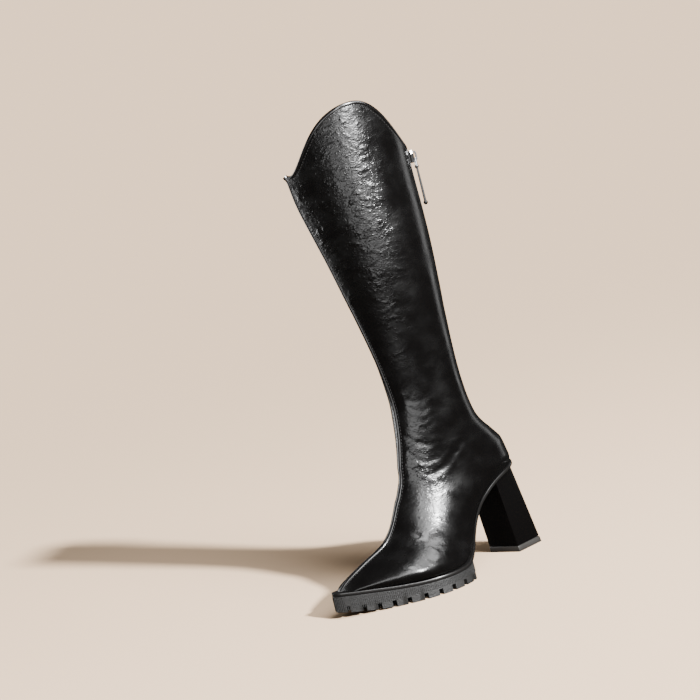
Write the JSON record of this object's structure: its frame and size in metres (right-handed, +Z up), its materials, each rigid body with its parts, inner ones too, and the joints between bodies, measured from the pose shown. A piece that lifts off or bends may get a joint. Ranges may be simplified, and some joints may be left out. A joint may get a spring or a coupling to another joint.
{
  "type": "knee-high heeled boot",
  "caption": "Left knee-high leather boot with scalloped collar, back zip, lugged platform sole and flared block heel, standing empty.",
  "frame": {"origin": "centre of the boot's box on the ground plane it stands on", "axes": "+Z up the shaft, -Y towards the toe, +X towards the outer side of the leg"},
  "size_m": [0.0964, 0.2386, 0.4688],
  "materials": {
    "upper_leather": "glossy black, finely crinkled",
    "insole_lining": "matt dark grey",
    "midsole_rubber": "satin black edge",
    "outsole_rubber": "matt dark grey, finely ribbed",
    "heel_cover": "satin black",
    "heel_tip_rubber": "matt dark grey",
    "zip_tape": "black woven tape and chain",
    "slider_metal": "polished",
    "link_metal": "polished",
    "tab_enamel": "black enamel"
  },
  "bodies": {
    "boot": {"upper": "upper_leather", "insole": "insole_lining", "midsole": "midsole_rubber", "outsole": "outsole_rubber", "heel": "heel_cover", "heel_tip": "heel_tip_rubber", "zip": "zip_tape", "zip_slider": "slider_metal"},
    "pull": {"pull_link": "link_metal", "pull_tab": "tab_enamel"}
  },
  "joints": [
    {"name": "pull_swing", "type": "hinge", "parent": "boot", "child": "pull", "pos_m": [0.02839, 0.06769, 0.4061], "axis": [0.8988, -0.4384, 0], "range_deg": [0, 150]}
  ]
}
